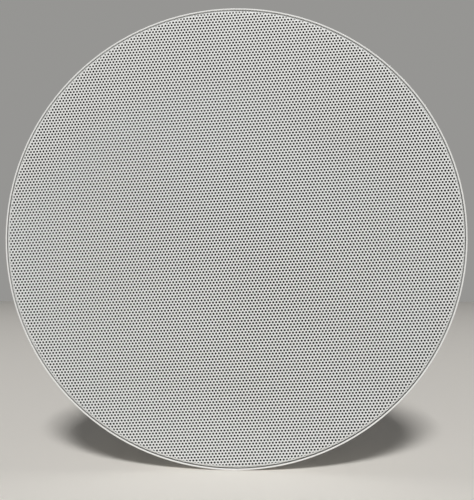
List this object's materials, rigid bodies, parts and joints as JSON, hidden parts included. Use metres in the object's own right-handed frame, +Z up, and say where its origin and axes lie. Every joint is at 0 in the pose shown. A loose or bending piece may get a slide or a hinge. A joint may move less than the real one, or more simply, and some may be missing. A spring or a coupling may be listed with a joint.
{
  "type": "in-ceiling speaker",
  "caption": "Round in-ceiling loudspeaker with a perforated steel grille held by magnets, a woofer, a swivelling dome tweeter, and swing-out dogs that clamp it in a ceiling cut-out.",
  "frame": {"origin": "centre of the flange's back, the plane of the ceiling board's face, on the speaker's axis", "axes": "+Y along the speaker's axis into the ceiling void, the grille faces -Y, +Z up as the picture shows it standing, crossover at the top"},
  "size_m": [0.229, 0.0867, 0.229],
  "materials": {
    "white_paint": "fine satin powder coat",
    "white_abs": "moulded, fine satin",
    "black_cloth": "woven acoustic cloth",
    "nickel": "plated",
    "foam": "closed-cell foam",
    "black_steel": "semi-gloss black",
    "rubber": "matt",
    "cone": "moulded polypropylene",
    "dust_cap": "satin",
    "former": "polyimide tube",
    "copper": "enamelled wire",
    "spider_cloth": "resin-treated woven cloth",
    "zinc_steel": "zinc plated",
    "ferrite": "ground ferrite",
    "black_plastic": "moulded, fine texture",
    "silk": "coated silk",
    "board": "green solder mask",
    "grey_plastic": "moulded",
    "can_sleeve": "shrink sleeve",
    "film_sleeve": "film wrap",
    "ceramic": "cement",
    "red_plastic": "moulded",
    "black_screw": "black oxide",
    "nylon": "glass-filled nylon"
  },
  "bodies": {
    "chassis": {"grille_magnets": "nickel", "frame": "white_abs", "woofer_gasket": "foam", "woofer_basket": "black_steel", "woofer_screws": "black_screw", "woofer_surround": "rubber", "woofer_spider": "spider_cloth", "top_plate": "zinc_steel", "ring_magnet": "ferrite", "yoke": "zinc_steel", "tweeter_bridge": "black_plastic", "bridge_screws": "black_screw", "tweeter_retaining_ring": "black_plastic", "crossover_tray": "grey_plastic", "tray_screws": "zinc_steel", "crossover_board": "board", "board_screws": "zinc_steel", "inductor_bobbin": "black_plastic", "inductor_winding": "copper", "capacitor_large": "film_sleeve", "capacitor_small": "can_sleeve", "resistor": "ceramic", "terminal_block": "black_plastic"},
    "grille": {"grille": "white_paint", "grille_cloth": "black_cloth"},
    "cone": {"woofer_cone": "cone", "dust_cap": "dust_cap", "coil_former": "former", "voice_coil": "copper"},
    "tweeter_ring": {"tweeter_swivel_ring": "black_plastic"},
    "tweeter": {"tweeter_cup": "black_plastic", "tweeter_faceplate": "black_plastic", "tweeter_dome": "silk", "tweeter_coil": "copper", "tweeter_pole_plate": "zinc_steel", "tweeter_magnet": "nickel", "tweeter_yoke": "zinc_steel"},
    "terminal_button_red": {"terminal_button_red": "red_plastic"},
    "terminal_button_black": {"terminal_button_black": "black_plastic"},
    "clamp_screw_1": {"clamp_screw_1": "zinc_steel"},
    "clamp_dog_1": {"clamp_dog_1": "nylon"},
    "clamp_screw_2": {"clamp_screw_2": "zinc_steel"},
    "clamp_dog_2": {"clamp_dog_2": "nylon"},
    "clamp_screw_3": {"clamp_screw_3": "zinc_steel"},
    "clamp_dog_3": {"clamp_dog_3": "nylon"},
    "clamp_screw_4": {"clamp_screw_4": "zinc_steel"},
    "clamp_dog_4": {"clamp_dog_4": "nylon"}
  },
  "joints": [
    {"name": "grille_pull", "type": "slide", "parent": "chassis", "child": "grille", "axis": [0, -1, 0], "range_m": [0, 0.06]},
    {"name": "cone_travel", "type": "slide", "parent": "chassis", "child": "cone", "axis": [0, -1, 0], "range_m": [-0.004, 0.004], "stiffness_N_per_m": 1500, "deforming": ["woofer_surround", "woofer_spider"]},
    {"name": "tweeter_turn", "type": "hinge", "parent": "chassis", "child": "tweeter_ring", "pos_m": [0, 0.006, 0], "axis": [0, 1, 0], "continuous": true},
    {"name": "tweeter_tilt", "type": "hinge", "parent": "tweeter_ring", "child": "tweeter", "pos_m": [0, 0.006, 0], "axis": [1, 0, 0], "range_deg": [-15, 15]},
    {"name": "terminal_push_red", "type": "slide", "parent": "chassis", "child": "terminal_button_red", "axis": [0, -1, 0], "range_m": [0, 0.002], "stiffness_N_per_m": 500, "springref_m": -0.002},
    {"name": "terminal_push_black", "type": "slide", "parent": "chassis", "child": "terminal_button_black", "axis": [0, -1, 0], "range_m": [0, 0.002], "stiffness_N_per_m": 500, "springref_m": -0.002},
    {"name": "clamp_swing_1", "type": "hinge", "parent": "chassis", "child": "clamp_screw_1", "pos_m": [0.06399, 0, 0.06399], "axis": [0, 1, 0], "range_deg": [0, 90]},
    {"name": "clamp_travel_1", "type": "slide", "parent": "clamp_screw_1", "child": "clamp_dog_1", "axis": [0, -1, 0], "range_m": [0, 0.0245]},
    {"name": "clamp_swing_2", "type": "hinge", "parent": "chassis", "child": "clamp_screw_2", "pos_m": [-0.06399, 0, 0.06399], "axis": [0, 1, 0], "range_deg": [0, 90]},
    {"name": "clamp_travel_2", "type": "slide", "parent": "clamp_screw_2", "child": "clamp_dog_2", "axis": [0, -1, 0], "range_m": [0, 0.0245]},
    {"name": "clamp_swing_3", "type": "hinge", "parent": "chassis", "child": "clamp_screw_3", "pos_m": [-0.06399, 0, -0.06399], "axis": [0, 1, 0], "range_deg": [0, 90]},
    {"name": "clamp_travel_3", "type": "slide", "parent": "clamp_screw_3", "child": "clamp_dog_3", "axis": [0, -1, 0], "range_m": [0, 0.0245]},
    {"name": "clamp_swing_4", "type": "hinge", "parent": "chassis", "child": "clamp_screw_4", "pos_m": [0.06399, 0, -0.06399], "axis": [0, 1, 0], "range_deg": [0, 90]},
    {"name": "clamp_travel_4", "type": "slide", "parent": "clamp_screw_4", "child": "clamp_dog_4", "axis": [0, -1, 0], "range_m": [0, 0.0245]}
  ]
}
